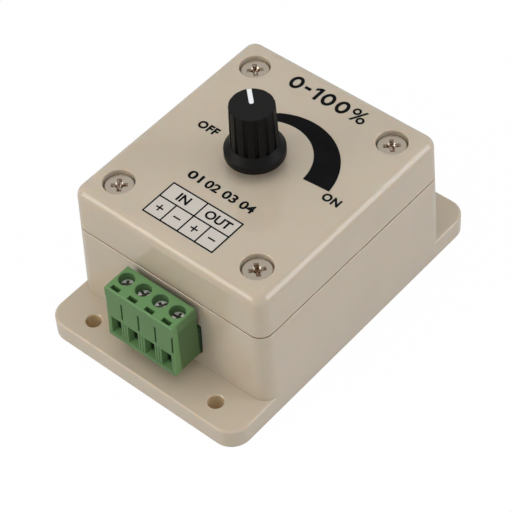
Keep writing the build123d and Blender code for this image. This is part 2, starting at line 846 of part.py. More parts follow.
# Knob: turned form with a skirt, flutes cut down its side and a flatted bore
with BuildPart() as knob:
    with BuildSketch(Plane.XZ):
        with BuildLine():
            Polyline(
                (0, knob_bottom),
                (skirt_diameter / 2, knob_bottom),
                (skirt_diameter / 2, skirt_top),
                (knob_foot_diameter / 2, flange_top),
                (knob_top_diameter / 2, knob_top),
                (0, knob_top),
                close=True,
            )
        make_face()
    revolve(axis=Axis.Z)
    rings = knob.edges().filter_by(GeomType.CIRCLE).sort_by(Axis.Z)
    fillet(rings[-1], knob_top_edge)
    fillet(rings[-2], foot_fillet)
    fillet(knob.edges().filter_by(GeomType.CIRCLE).sort_by(SortBy.RADIUS)[-2:], skirt_edge)
    with BuildSketch(Plane.XY.offset(flange_top - flute_drop)):
        with PolarLocations(flute_circle / 2, flutes, start_angle=pointer_angle):
            Circle(flute_radius)
    extrude(amount=knob_height, mode=Mode.SUBTRACT)
    with BuildSketch(Plane.XY.offset(knob_bottom)):
        Circle(skirt_recess / 2)
    extrude(amount=skirt_recess_depth, mode=Mode.SUBTRACT)
    with BuildSketch(Plane.XY.offset(knob_bottom)):
        Circle(shaft_diameter / 2 + shaft_fit)
        with Locations(Location((0, 0), pointer_angle)):
            with Locations((shaft_diameter / 2 - shaft_flat + shaft_fit, 0)):
                Rectangle(
                    shaft_diameter,
                    2 * shaft_diameter,
                    align=(Align.MIN, Align.CENTER),
                    mode=Mode.SUBTRACT,
                )
    extrude(amount=bore_top - knob_bottom, mode=Mode.SUBTRACT)
    with BuildSketch(Plane.XY.offset(knob_bottom)):
        Circle(shaft_diameter / 2 + shaft_fit)
    extrude(amount=shaft_top - shaft_flat_length - knob_bottom + shaft_fit, mode=Mode.SUBTRACT)
    with BuildSketch(Plane.XY.offset(knob_top - pointer_depth)):
        with Locations(Location((0, 0), pointer_angle)):
            with Locations((pointer_start, 0)):
                Circle(pointer_width / 2)
                Rectangle(skirt_diameter, pointer_width, align=(Align.MIN, Align.CENTER))
    extrude(amount=pointer_depth, mode=Mode.SUBTRACT)
knob.part.label = "knob"

# Pointer: an inlay in the slot across half of the knob's top
with BuildPart() as knob_pointer:
    with BuildSketch(Plane.XY.offset(knob_top - pointer_depth)):
        with Locations(Location((0, 0), pointer_angle)):
            with Locations((pointer_start, 0)):
                Circle(pointer_width / 2 - pointer_fit)
                Rectangle(
                    knob_top_diameter / 2 - knob_top_edge - pointer_start,
                    pointer_width - 2 * pointer_fit,
                    align=(Align.MIN, Align.CENTER),
                )
    extrude(amount=pointer_depth)
knob_pointer.part.label = "knob_pointer"

# Power transistor: moulded body against an upright metal tab, on three leads
with BuildPart() as transistor_tab:
    with Locations((transistor_x, 0, transistor_bottom)):
        Box(
            transistor_tab_thickness,
            transistor_width,
            transistor_tab_height,
            align=(Align.MIN, Align.CENTER, Align.MIN),
        )
    tab_hole_z = (transistor_body_height + transistor_tab_height) / 2 + transistor_bottom
    with Locations(Location((transistor_x, 0, tab_hole_z), (0, 90, 0))):
        Hole(transistor_tab_hole / 2)
transistor_tab.part.label = "transistor_tab"

with BuildPart() as transistor_body:
    with Locations((transistor_x + transistor_tab_thickness, 0, transistor_bottom)):
        Box(
            transistor_body_depth,
            transistor_width,
            transistor_body_height,
            align=(Align.MIN, Align.CENTER, Align.MIN),
        )
    chamfer(transistor_body.faces().sort_by(Axis.X)[-1].edges(), transistor_body_bevel)
transistor_body.part.label = "transistor_body"

with BuildPart() as transistor_leads:
    with BuildSketch(Plane.XY.offset(transistor_bottom)):
        with Locations((transistor_lead_x, 0)):
            with GridLocations(0, transistor_lead_pitch, 1, transistor_lead_count):
                Rectangle(transistor_lead, transistor_lead)
    extrude(amount=lead_bottom - transistor_bottom)
transistor_leads.part.label = "transistor_leads"

# Filter capacitor: a can standing on the board
with BuildPart() as filter_capacitor:
    with Locations((capacitor_x, capacitor_y, board_top)):
        Cylinder(
            capacitor_diameter / 2,
            capacitor_height,
            align=(Align.CENTER, Align.CENTER, Align.MIN),
        )
    chamfer(filter_capacitor.edges().filter_by(GeomType.CIRCLE), capacitor_edge)
filter_capacitor.part.label = "filter_capacitor"

with BuildPart() as capacitor_leads:
    with BuildSketch(Plane.XY.offset(board_top)):
        with Locations((capacitor_x, capacitor_y)):
            with GridLocations(0, capacitor_lead_pitch, 1, 2):
                Circle(capacitor_lead / 2)
    extrude(amount=lead_bottom - board_top)
capacitor_leads.part.label = "capacitor_leads"

# Timer chip with its gull-wing leads
with BuildPart() as timer_chip:
    with Locations((0, chip_y, board_top + chip_stand)):
        Box(chip_length, chip_width, chip_height, align=(Align.CENTER, Align.CENTER, Align.MIN))
    chamfer(timer_chip.faces().sort_by(Axis.Z)[-1].edges(), chip_bevel)
timer_chip.part.label = "timer_chip"

with BuildPart() as chip_leads:
    knee_y = chip_width / 2 + chip_lead_foot / 2
    lead_z = board_top + chip_stand + chip_height / 2
    for column in range(chip_lead_columns):
        lead_x = (column - (chip_lead_columns - 1) / 2) * chip_lead_pitch
        for side in (-1, 1):
            with BuildSketch(Plane.YZ.offset(lead_x)):
                with BuildLine():
                    Polyline(
                        (chip_y + side * chip_width / 2, lead_z),
                        (chip_y + side * knee_y, lead_z),
                        (chip_y + side * knee_y, board_top + chip_lead_sheet),
                        (chip_y + side * (chip_width / 2 + chip_lead_foot), board_top + chip_lead_sheet),
                        (chip_y + side * (chip_width / 2 + chip_lead_foot), board_top),
                        (chip_y + side * (knee_y - chip_lead_sheet), board_top),
                        (chip_y + side * (knee_y - chip_lead_sheet), lead_z - chip_lead_sheet),
                        (chip_y + side * chip_width / 2, lead_z - chip_lead_sheet),
                        close=True,
                    )
                make_face()
            extrude(amount=chip_lead_width / 2, both=True)
chip_leads.part.label = "chip_leads"

# Flyback diode: a flat package with two wrapped tabs
with BuildPart() as flyback_diode:
    with Locations((diode_x, diode_y, board_top + diode_tab_sheet)):
        Box(diode_width, diode_length, diode_height, align=(Align.CENTER, Align.CENTER, Align.MIN))
    chamfer(flyback_diode.faces().sort_by(Axis.Z)[-1].edges(), diode_bevel)
flyback_diode.part.label = "flyback_diode"

with BuildPart() as diode_tabs:
    for side in (-1, 1):
        tab_in = diode_y + side * diode_length / 2
        tab_out = tab_in + side * diode_tab_sheet
        tab_toe = tab_in - side * diode_tab_reach
        with BuildSketch(Plane.YZ.offset(diode_x)):
            with BuildLine():
                Polyline(
                    (tab_toe, board_top),
                    (tab_out, board_top),
                    (tab_out, board_top + diode_tab_sheet + diode_height / 2),
                    (tab_in, board_top + diode_tab_sheet + diode_height / 2),
                    (tab_in, board_top + diode_tab_sheet),
                    (tab_toe, board_top + diode_tab_sheet),
                    close=True,
                )
            make_face()
        extrude(amount=diode_tab_width / 2, both=True)
diode_tabs.part.label = "diode_tabs"

# Chip resistors in a row behind the timer
with BuildPart() as chip_resistors:
    with Locations((0, resistor_y, board_top)):
        with GridLocations(resistor_spacing, 0, resistor_count, 1):
            Box(
                resistor_width,
                resistor_length,
                resistor_height,
                align=(Align.CENTER, Align.CENTER, Align.MIN),
            )
chip_resistors.part.label = "chip_resistors"

# One file for each sub-part
finished = [
    base_housing.part,
    lid.part,
    lid_screws.part,
    circuit_board.part,
    board_screws.part,
    terminal_header.part,
    header_pins.part,
    plug_housing.part,
    plug_contacts.part,
    *clamp_screws,
    *wire_cages,
    pot_wafer.part,
    pot_case.part,
    pot_bushing.part,
    pot_pins.part,
    pot_shaft.part,
    pot_wiper.part,
    knob.part,
    knob_pointer.part,
    transistor_tab.part,
    transistor_body.part,
    transistor_leads.part,
    filter_capacitor.part,
    capacitor_leads.part,
    timer_chip.part,
    chip_leads.part,
    flyback_diode.part,
    diode_tabs.part,
    chip_resistors.part,
]

os.makedirs("parts", exist_ok=True)
for piece in finished:
    placed = piece.moved(Pos(0, -plate_shift, 0))
    export_step(placed, f"parts/{piece.label}.step")
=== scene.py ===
import json
import math

import bmesh
import bpy
from mathutils import Matrix, Vector


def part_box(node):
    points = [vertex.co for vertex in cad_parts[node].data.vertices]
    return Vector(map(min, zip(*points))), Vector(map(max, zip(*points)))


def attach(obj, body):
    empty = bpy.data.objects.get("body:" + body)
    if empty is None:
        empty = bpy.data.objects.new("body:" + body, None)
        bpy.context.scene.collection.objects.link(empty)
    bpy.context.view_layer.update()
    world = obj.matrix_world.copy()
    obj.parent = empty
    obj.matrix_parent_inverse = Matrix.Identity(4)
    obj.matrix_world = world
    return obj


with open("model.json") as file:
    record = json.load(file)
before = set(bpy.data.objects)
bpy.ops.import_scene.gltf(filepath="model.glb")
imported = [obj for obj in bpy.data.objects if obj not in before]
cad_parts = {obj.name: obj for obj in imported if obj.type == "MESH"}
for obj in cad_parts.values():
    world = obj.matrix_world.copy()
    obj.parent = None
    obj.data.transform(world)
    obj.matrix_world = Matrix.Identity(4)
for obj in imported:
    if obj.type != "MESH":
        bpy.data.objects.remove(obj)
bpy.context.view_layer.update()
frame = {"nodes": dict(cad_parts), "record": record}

MM = 0.001

# Camera, fitted to the edges, screws and holes of the box
VIEW_AZIMUTH = 43.856
VIEW_ELEVATION = 48.775
VIEW_ROLL = -4.469
VIEW_DISTANCE = 444.74
VIEW_TARGET = (5.753, -7.546, 18.0)
LENS = 138.71
SENSOR = 36.0

# Levels and places that come from the frame
LID_LOW, LID_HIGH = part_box("lid")
LID_TOP = LID_HIGH.z / MM
SHAFT_Y = (LID_LOW.y + LID_HIGH.y) / 2 / MM
PLATE_LOW, PLATE_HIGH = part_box("base_housing")
PLUG_LOW, PLUG_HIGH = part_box("plug_housing")
KNOB_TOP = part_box("knob")[1].z
EAR_DIMS = frame["record"]["mounts"][0]["dims"]

# Print on the lid, in millimetres from the shaft's axis and in degrees
PRINT_THICKNESS = 0.03
FILL_THICKNESS = 0.015
OFF_CENTRE = (-15.33, 1.53)
ON_CENTRE = (20.42, 1.29)
OFF_WIDTH = 5.6
ON_WIDTH = 4.6
SWITCH_WORD_HEIGHT = 2.35
SWITCH_WORD_WEIGHT = 0.044
SWITCH_WORD_SPACING = 1.14
SCALE_LEFT = -10.55
SCALE_BOTTOM = 22.9
SCALE_HEIGHT = 4.05
SCALE_STROKE = 0.85
POLE_NUMBER_Y = -11.5
POLE_NUMBER_HEIGHT = 2.45
POLE_NUMBER_WIDTH = 3.8
POLE_NUMBER_WEIGHT = 0.028
TABLE_LEFT = -10.13
TABLE_RIGHT = 9.88
TABLE_TOP = -15.87
TABLE_MIDDLE = -20.56
TABLE_BOTTOM = -26.05
TABLE_LINE = 0.38
TABLE_WORD_HEIGHT = 2.45
TABLE_WORD_WEIGHT = 0.03
IN_WIDTH = 3.15
OUT_WIDTH = 7.0
WEDGE_OUTER = (2.63, 1.39, 15.84)
WEDGE_INNER = (0.14, 2.13, 11.33)
WEDGE_OUTER_END = 5.4
WEDGE_INNER_END = 1.1
WEDGE_TIP = 158.0
WEDGE_TAPER_START = 122.0

# Reach of the painted light and shade on single faces, in millimetres
PLUG_TOP_BAND = 0.3
PLUG_TOP_BLUR = 0.2
PLUG_PANEL_DEEP = 0.2
PLUG_PANEL_SHALLOW = 0.12
PLUG_SIDE_SKIN = 0.1
PLUG_SIDE_BLUR = 0.05
PLUG_EDGE = 2.0
PLUG_EDGE_BLUR = 0.1
ENTRY_SIDE = 0.4
ENTRY_START = 1.7
ENTRY_END = 6.0
ENTRY_FLOOR = 0.2
ENTRY_ROOF = 7.0
HOLE_RIM = 0.06
HOLE_WALL = 0.02
RECESS_START = 0.31
RECESS_BLUR = 0.1
GROOVE_FLOOR = 0.01
GROOVE_ROOF = 0.495
KNOB_SKIN = 0.05

# Grain in the screws' recesses, in features to the metre, and the noise values where painted glints start
# and end
RECESS_GRAIN = 1600
GLINT_GRAIN = 1300
GLINT_START = 0.5
GLINT_END = 0.56

# Detail of all noise, and the range that most of its values lie in
NOISE_DETAIL = 3.0
NOISE_LOW = 0.3
NOISE_HIGH = 0.7

# Drops of the table and of the sheet of painted shade below the box, in millimetres
FLOOR_DROP = 0.02
SHEET_DROP = 0.01


def display(red, green, blue):
    """A colour given as it shows on screen, from 0 to 255, as a linear colour."""
    def linear(value):
        share = value / 255
        return share / 12.92 if share <= 0.04045 else ((share + 0.055) / 1.055) ** 2.4
    return (linear(red), linear(green), linear(blue), 1.0)


# Materials


def new_material(name):
    """A node material with a plain Principled shader."""
    material = bpy.data.materials.new(name)
    material.use_nodes = True
    return material, material.node_tree.nodes, material.node_tree.links


def noise(nodes, links, scale, stretch=(1, 1, 1)):
    """Noise in the piece's own coordinates, in features to the metre."""
    place = nodes.new("ShaderNodeTexCoord")
    mapping = nodes.new("ShaderNodeMapping")
    mapping.inputs["Scale"].default_value = stretch
    texture = nodes.new("ShaderNodeTexNoise")
    texture.inputs["Scale"].default_value = scale
    texture.inputs["Detail"].default_value = NOISE_DETAIL
    links.new(place.outputs["Object"], mapping.inputs["Vector"])
    links.new(mapping.outputs["Vector"], texture.inputs["Vector"])
    return texture.outputs["Fac"]


def spread(nodes, links, value, low, high):
    """A noise value spread from low to high."""
    node = nodes.new("ShaderNodeMapRange")
    node.inputs["From Min"].default_value = NOISE_LOW
    node.inputs["From Max"].default_value = NOISE_HIGH
    node.inputs["To Min"].default_value = low
    node.inputs["To Max"].default_value = high
    links.new(value, node.inputs["Value"])
    return node.outputs["Result"]


def tint(nodes, links, value, first, second):
    """A colour that runs from first to second with a noise value."""
    node = nodes.new("ShaderNodeValToRGB")
    node.color_ramp.elements[0].position = NOISE_LOW
    node.color_ramp.elements[0].color = first
    node.color_ramp.elements[1].position = NOISE_HIGH
    node.color_ramp.elements[1].color = second
    links.new(value, node.inputs["Fac"])
    return node.outputs["Color"]


def bump(nodes, links, height, depth):
    """A normal from a height value, with its depth in metres."""
    node = nodes.new("ShaderNodeBump")
    node.inputs["Distance"].default_value = depth
    node.inputs["Strength"].default_value = 1.0
    links.new(height, node.inputs["Height"])
    return node.outputs["Normal"]


def moulded(name, pale, deep, gloss, grain, relief, cloud=70.0, shine=0.5, depth=0.0, skin=0.0):
    """Moulded plastic: a cloudy colour, uneven gloss, a fine grain and light let in to a depth in metres.

    The skin is the share of its surface that is as smooth as the mould.
    """
    material, nodes, links = new_material(name)
    shader = nodes["Principled BSDF"]
    shader.inputs["Specular IOR Level"].default_value = shine
    shader.inputs["Coat Weight"].default_value = skin
    shader.inputs["Coat Roughness"].default_value = 0.05
    if depth:
        shader.inputs["Subsurface Weight"].default_value = 1.0
        shader.inputs["Subsurface Radius"].default_value = (1.0, 0.6, 0.35)
        shader.inputs["Subsurface Scale"].default_value = depth
    links.new(tint(nodes, links, noise(nodes, links, cloud), pale, deep), shader.inputs["Base Color"])
    links.new(
        spread(nodes, links, noise(nodes, links, 4 * cloud), *gloss), shader.inputs["Roughness"]
    )
    links.new(bump(nodes, links, noise(nodes, links, grain), relief), shader.inputs["Normal"])
    return material


def plated(name, pale, deep, gloss, grain, relief, stretch=(1, 1, 1), metal=1.0):
    """Plated or turned metal with fine marks in its surface."""
    material, nodes, links = new_material(name)
    shader = nodes["Principled BSDF"]
    shader.inputs["Metallic"].default_value = metal
    marks = noise(nodes, links, grain, stretch=stretch)
    links.new(tint(nodes, links, noise(nodes, links, grain / 8), pale, deep), shader.inputs["Base Color"])
    links.new(spread(nodes, links, marks, *gloss), shader.inputs["Roughness"])
    links.new(bump(nodes, links, marks, relief), shader.inputs["Normal"])
    return material


MATERIALS = {
    "box_plastic": moulded(
        "box_plastic", display(196, 183, 165), display(192, 179, 161), (0.33, 0.38), 3500, 3e-7,
        shine=0.25, depth=0.0005, skin=0.8,
    ),
    "terminal_green": moulded(
        "terminal_green", display(92, 128, 80), display(84, 119, 73), (0.42, 0.5), 4000, 3e-6,
        shine=0.35,
    ),
    # A darker copy of the terminal green: painted shade for the header seen deep between the plug and the
    # wall
    "header_green_painted_shade": moulded(
        "header_green_painted_shade", display(52, 74, 50), display(46, 67, 45), (0.45, 0.55), 4000, 3e-6, shine=0.2
    ),
    "knob_black": moulded(
        "knob_black", display(18, 18, 18), display(14, 14, 14), (0.4, 0.48), 5000, 8e-6, cloud=300,
        shine=0.12,
    ),
    "pointer_white": moulded(
        "pointer_white", display(240, 241, 244), display(228, 229, 233), (0.3, 0.4), 4000, 2e-6
    ),
    "print_black": moulded(
        "print_black", display(18, 17, 19), display(14, 13, 15), (0.45, 0.55), 6000, 2e-6, cloud=200,
        shine=0.05,
    ),
    "print_grey": moulded(
        "print_grey", display(198, 191, 183), display(194, 187, 180), (0.4, 0.46), 5000, 2e-6
    ),
    "board_laminate": moulded(
        "board_laminate", display(25, 110, 62), display(20, 96, 54), (0.3, 0.4), 2500, 6e-6
    ),
    "phenolic": moulded(
        "phenolic", display(130, 92, 58), display(108, 74, 46), (0.5, 0.6), 1800, 1e-5
    ),
    "epoxy_black": moulded(
        "epoxy_black", display(38, 38, 40), display(28, 28, 30), (0.5, 0.62), 7000, 8e-6, cloud=400
    ),
    "screw_nickel": plated(
        "screw_nickel", display(206, 195, 180), display(200, 189, 174), (0.24, 0.3), 900, 1e-7,
        metal=0.85,
    ),
    "clamp_nickel": plated(
        "clamp_nickel", display(250, 249, 246), display(196, 193, 188), (0.05, 0.1), 1900, 8e-5,
        metal=0.6,
    ),
    # Darker than bright nickel: painted shade for the cages seen deep in the wire entries
    "cage_nickel": plated(
        "cage_nickel", display(112, 110, 106), display(96, 94, 90), (0.3, 0.4), 3000, 3e-6
    ),
    "contact_tin": plated(
        "contact_tin", display(212, 211, 208), display(190, 189, 186), (0.25, 0.35), 3000, 2e-6
    ),
    "pot_steel": plated(
        "pot_steel", display(205, 205, 207), display(184, 184, 188), (0.3, 0.4), 1500, 3e-6
    ),
    "bushing_brass": plated(
        "bushing_brass", display(222, 196, 128), display(202, 172, 104), (0.24, 0.34), 1500, 3e-6
    ),
    "shaft_aluminium": plated(
        "shaft_aluminium", display(214, 214, 216), display(192, 192, 195), (0.26, 0.36), 900, 4e-6,
        stretch=(1, 1, 9),
    ),
    "can_sleeve": moulded(
        "can_sleeve", display(52, 60, 92), display(42, 49, 78), (0.25, 0.35), 2500, 3e-6
    ),
}


def between(nodes, links, value, first, second):
    """0 at a first value and past it, 1 at a second value and past it."""
    node = nodes.new("ShaderNodeMapRange")
    node.inputs["From Min"].default_value = first
    node.inputs["From Max"].default_value = second
    links.new(value, node.inputs["Value"])
    return node.outputs["Result"]


def inside(nodes, links, value, low, high):
    """1 between two values and 0 outside them."""
    node = nodes.new("ShaderNodeMath")
    node.operation = "COMPARE"
    node.inputs[1].default_value = (low + high) / 2
    node.inputs[2].default_value = (high - low) / 2
    links.new(value, node.inputs[0])
    return node.outputs["Value"]


def product(nodes, links, first, second):
    """Two values multiplied."""
    node = nodes.new("ShaderNodeMath")
    node.operation = "MULTIPLY"
    links.new(first, node.inputs[0])
    links.new(second, node.inputs[1])
    return node.outputs["Value"]


def piece_point(nodes, links):
    """The point in the piece's own coordinates, as X, Y and Z."""
    place = nodes.new("ShaderNodeTexCoord")
    point = nodes.new("ShaderNodeSeparateXYZ")
    links.new(place.outputs["Object"], point.inputs["Vector"])
    return point.outputs["X"], point.outputs["Y"], point.outputs["Z"]


def overlay(nodes, links, share, shade):
    """A shade laid over the material's colour by a share from 0 to 1."""
    colour = nodes["Principled BSDF"].inputs["Base Color"]
    mix = nodes.new("ShaderNodeMix")
    mix.data_type = "RGBA"
    mix.inputs["B"].default_value = shade
    links.new(share, mix.inputs["Factor"])
    links.new(colour.links[0].from_socket, mix.inputs["A"])
    links.new(mix.outputs["Result"], colour)


def paint_plug_light_and_shade():
    """Painted light and shade on the plug: paler green on its top and front edges, darker on its sides
    and in its entries.
    """
    tree = MATERIALS["terminal_green"].node_tree
    nodes, links = tree.nodes, tree.links
    x, y, z = piece_point(nodes, links)
    sideways = nodes.new("ShaderNodeMath")
    sideways.operation = "ABSOLUTE"
    links.new(x, sideways.inputs[0])
    x = sideways.outputs["Value"]
    top = PLUG_HIGH.z - PLUG_TOP_BAND * MM
    side = PLUG_HIGH.x - PLUG_SIDE_SKIN * MM
    front = PLUG_LOW.y + PLUG_EDGE * MM
    upper = between(nodes, links, z, top, top + PLUG_TOP_BLUR * MM)
    panel = inside(
        nodes, links, x, PLUG_HIGH.x - PLUG_PANEL_DEEP * MM, PLUG_HIGH.x - PLUG_PANEL_SHALLOW * MM
    )
    edge = product(
        nodes, links,
        between(nodes, links, x, side, side + PLUG_SIDE_BLUR * MM),
        between(nodes, links, y, front + PLUG_EDGE_BLUR * MM, front),
    )
    entry = product(
        nodes, links,
        inside(nodes, links, x, 0, PLUG_HIGH.x - ENTRY_SIDE * MM),
        inside(nodes, links, y, PLUG_LOW.y + ENTRY_START * MM, PLUG_LOW.y + ENTRY_END * MM),
    )
    low = inside(nodes, links, z, PLUG_LOW.z + ENTRY_FLOOR * MM, PLUG_LOW.z + ENTRY_ROOF * MM)
    # Painted light on the top and on the front edges of the sides, painted shade on the sides behind them
    # and deep in the wire entries
    overlay(nodes, links, upper, display(96, 134, 86))
    overlay(nodes, links, panel, display(79, 108, 65))
    overlay(nodes, links, edge, display(106, 147, 93))
    overlay(nodes, links, product(nodes, links, entry, low), display(34, 52, 30))


def paint_light_in_holes():
    """Painted light: a warmer, paler colour on the walls of the mounting holes, in place of light coming
    through the plastic.
    """
    tree = MATERIALS["box_plastic"].node_tree
    nodes, links = tree.nodes, tree.links
    place = nodes.new("ShaderNodeTexCoord")
    quarter = nodes.new("ShaderNodeVectorMath")
    quarter.operation = "ABSOLUTE"
    flat = nodes.new("ShaderNodeVectorMath")
    flat.operation = "MULTIPLY"
    flat.inputs[1].default_value = (1, 1, 0)
    distance = nodes.new("ShaderNodeVectorMath")
    distance.operation = "DISTANCE"
    hole = Vector((EAR_DIMS["spacing_x_mm"], EAR_DIMS["spacing_y_mm"], 0)) / 2
    distance.inputs[1].default_value = hole * MM
    links.new(place.outputs["Object"], quarter.inputs[0])
    links.new(quarter.outputs["Vector"], flat.inputs[0])
    links.new(flat.outputs["Vector"], distance.inputs[0])
    rim = (EAR_DIMS["hole_r_mm"] + HOLE_RIM) * MM
    wall = (EAR_DIMS["hole_r_mm"] + HOLE_WALL) * MM
    share = between(nodes, links, distance.outputs["Value"], rim, wall)
    overlay(nodes, links, share, display(216, 195, 162))


def paint_recess_shade_and_glints(material, node, recess_shade, painted_glint, depth):
    """Metal with painted shade and warm reflection, and painted glints, below the flat of a screw's head,
    with its unevenness in metres.
    """
    tree = MATERIALS[material].node_tree
    nodes, links = tree.nodes, tree.links
    z = piece_point(nodes, links)[2]
    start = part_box(node)[1].z - RECESS_START * MM
    low = between(nodes, links, z, start, start - RECESS_BLUR * MM)
    spots = between(nodes, links, noise(nodes, links, GLINT_GRAIN), GLINT_START, GLINT_END)
    # Painted shade and warm reflection in the recess, then painted glints on spots of it
    overlay(nodes, links, low, recess_shade)
    overlay(nodes, links, product(nodes, links, low, spots), painted_glint)
    if depth:
        height = product(nodes, links, low, noise(nodes, links, RECESS_GRAIN))
        links.new(bump(nodes, links, height, depth), nodes["Principled BSDF"].inputs["Normal"])


def paint_light_and_shade_band(material, low, high, shade):
    """Painted shade or painted light, as each call gives it, on the part of a material between two
    heights of its piece.
    """
    tree = MATERIALS[material].node_tree
    nodes, links = tree.nodes, tree.links
    z = piece_point(nodes, links)[2]
    overlay(nodes, links, inside(nodes, links, z, low, high), shade)


# Nodes that look unlike the rest of their slot: the header in a darker green of painted shade, the clamp
# screws in their own metal
OWN_LOOK = {"terminal_header": "header_green_painted_shade"}
OWN_LOOK.update({f"clamp_screw_{pole}": "clamp_nickel" for pole in (1, 2, 3, 4)})


def dress_nodes():
    """Each solid takes the material of its slot in the record, or its own."""
    for row in frame["record"]["subparts"]:
        piece = frame["nodes"][row["node"]]
        piece.data.materials.clear()
        piece.data.materials.append(MATERIALS[OWN_LOOK.get(row["node"], row["material_slot"])])


# Print on the lid


def printed(name, mesh, material):
    """A thin printed piece that lies on the lid and moves with the box."""
    piece = bpy.data.objects.new(name, mesh)
    bpy.context.scene.collection.objects.link(piece)
    mesh.materials.clear()
    mesh.materials.append(MATERIALS[material])
    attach(piece, "housing")


def flat_mesh(name, outlines, thickness=PRINT_THICKNESS):
    """A mesh of closed outlines in millimetres on the lid, raised by the thickness."""
    shape = bmesh.new()
    for outline in outlines:
        corners = [shape.verts.new((x * MM, (y + SHAFT_Y) * MM, LID_TOP * MM)) for x, y in outline]
        shape.faces.new(corners)
    raised = bmesh.ops.extrude_face_region(shape, geom=list(shape.faces))
    top = [item for item in raised["geom"] if isinstance(item, bmesh.types.BMVert)]
    bmesh.ops.translate(shape, verts=top, vec=(0, 0, thickness * MM))
    bmesh.ops.recalc_face_normals(shape, faces=list(shape.faces))
    mesh = bpy.data.meshes.new(name)
    shape.to_mesh(mesh)
    shape.free()
    return mesh


def words(name, text, centre, height, width, weight=0.0, spacing=1.0):
    """Flat lettering with a given cap height and width, in millimetres."""
    curve = bpy.data.curves.new(name, "FONT")
    curve.body = text
    curve.offset = weight
    curve.extrude = 0.5
    curve.resolution_u = 6
    curve.space_character = spacing
    source = bpy.data.objects.new(name + "_source", curve)
    bpy.context.scene.collection.objects.link(source)
    bpy.context.view_layer.update()
    graph = bpy.context.evaluated_depsgraph_get()
    mesh = bpy.data.meshes.new_from_object(source.evaluated_get(graph))
    bpy.data.objects.remove(source)
    bpy.data.curves.remove(curve)
    low = Vector(min(v.co[i] for v in mesh.vertices) for i in range(3))
    high = Vector(max(v.co[i] for v in mesh.vertices) for i in range(3))
    middle = (low + high) / 2
    size = high - low
    grow = Vector((width / size.x, height / size.y, PRINT_THICKNESS / size.z)) * MM
    place = Vector((centre[0], centre[1] + SHAFT_Y, LID_TOP + PRINT_THICKNESS / 2)) * MM
    mesh.transform(
        Matrix.Translation(place) @ Matrix.Diagonal((*grow, 1)) @ Matrix.Translation(-middle)
    )
    mesh.name = name
    return mesh


def bar(x0, y0, x1, y1):
    """A rectangle as an outline."""
    return [(x0, y0), (x1, y0), (x1, y1), (x0, y1)]


def on_circle(circle, angle):
    """A point of a circle given as centre x, centre y and radius."""
    x, y, radius = circle
    return (x + radius * math.cos(math.radians(angle)), y + radius * math.sin(math.radians(angle)))


def strips_between(pairs):
    """Four-sided strips between neighbouring pairs of points."""
    return [[a, b, next_b, next_a] for (a, b), (next_a, next_b) in zip(pairs, pairs[1:])]


def ring(x, y, half_width, half_height, stroke):
    """An upright oval drawn with a stroke, as short strips."""
    steps = 40
    pairs = []
    for i in range(steps + 1):
        turn = 2 * math.pi * i / steps
        outer = (x + half_width * math.cos(turn), y + half_height * math.sin(turn))
        inner = (
            x + (half_width - stroke) * math.cos(turn),
            y + (half_height - stroke) * math.sin(turn),
        )
        pairs.append((inner, outer))
    return strips_between(pairs)


def level_scale():
    """The range of the knob, 0-100%, in block figures."""
    low = SCALE_BOTTOM
    high = low + SCALE_HEIGHT
    half = SCALE_HEIGHT / 2
    middle = low + half
    stroke = SCALE_STROKE
    nought = 1.65
    gap = 0.8
    dash = 1.7
    flag = 1.05
    flag_foot = 1.5
    flag_tip = 0.7
    loop = 1.05
    loop_stroke = 0.55
    percent = 4.4
    slash_foot = 0.75
    slash_head = 3.0
    slash_stroke = 0.65
    x = SCALE_LEFT
    shapes = ring(x + nought, middle, nought, half, stroke)
    x += 2 * nought + gap
    shapes.append(bar(x, middle - stroke / 2, x + dash, middle + stroke / 2))
    x += dash + gap
    shapes.append(bar(x + flag, low, x + flag + stroke, high))
    shapes.append([
        (x, high - flag_foot), (x + flag, high - stroke), (x + flag, high), (x, high - flag_tip),
    ])
    x += flag + stroke + gap
    for figure in range(2):
        shapes += ring(x + nought, middle, nought, half, stroke)
        x += 2 * nought + gap
    shapes += ring(x + loop, high - loop, loop, loop, loop_stroke)
    shapes += ring(x + percent - loop, low + loop, loop, loop, loop_stroke)
    shapes.append([
        (x + slash_foot, low), (x + slash_foot + slash_stroke, low),
        (x + slash_head + slash_stroke, high), (x + slash_head, high),
    ])
    return shapes


def level_wedge():
    """The black crescent that swells from nothing to its thick end at full level."""
    steps = 64
    pairs = []
    for i in range(steps):
        share = i / steps
        inner = Vector(on_circle(WEDGE_INNER, WEDGE_INNER_END + (WEDGE_TIP - WEDGE_INNER_END) * share))
        angle = WEDGE_OUTER_END + (WEDGE_TIP - WEDGE_OUTER_END) * share
        outer = Vector(on_circle(WEDGE_OUTER, angle))
        width = min(1.0, (WEDGE_TIP - angle) / (WEDGE_TIP - WEDGE_TAPER_START))
        pairs.append((inner, inner.lerp(outer, width)))
    return strips_between(pairs)


def terminal_table():
    """Lines of the table of terminals: two cells over four."""
    half = TABLE_LINE / 2
    middle_x = (TABLE_LEFT + TABLE_RIGHT) / 2
    quarter = (TABLE_RIGHT - TABLE_LEFT) / 4
    lines = []
    for y in (TABLE_TOP, TABLE_MIDDLE, TABLE_BOTTOM):
        lines.append(bar(TABLE_LEFT - half, y - half, TABLE_RIGHT + half, y + half))
    for x in (TABLE_LEFT, middle_x, TABLE_RIGHT):
        lines.append(bar(x - half, TABLE_BOTTOM + half, x + half, TABLE_MIDDLE - half))
        lines.append(bar(x - half, TABLE_MIDDLE + half, x + half, TABLE_TOP - half))
    for x in (TABLE_LEFT + quarter, TABLE_RIGHT - quarter):
        lines.append(bar(x - half, TABLE_BOTTOM + half, x + half, TABLE_MIDDLE - half))
    return lines


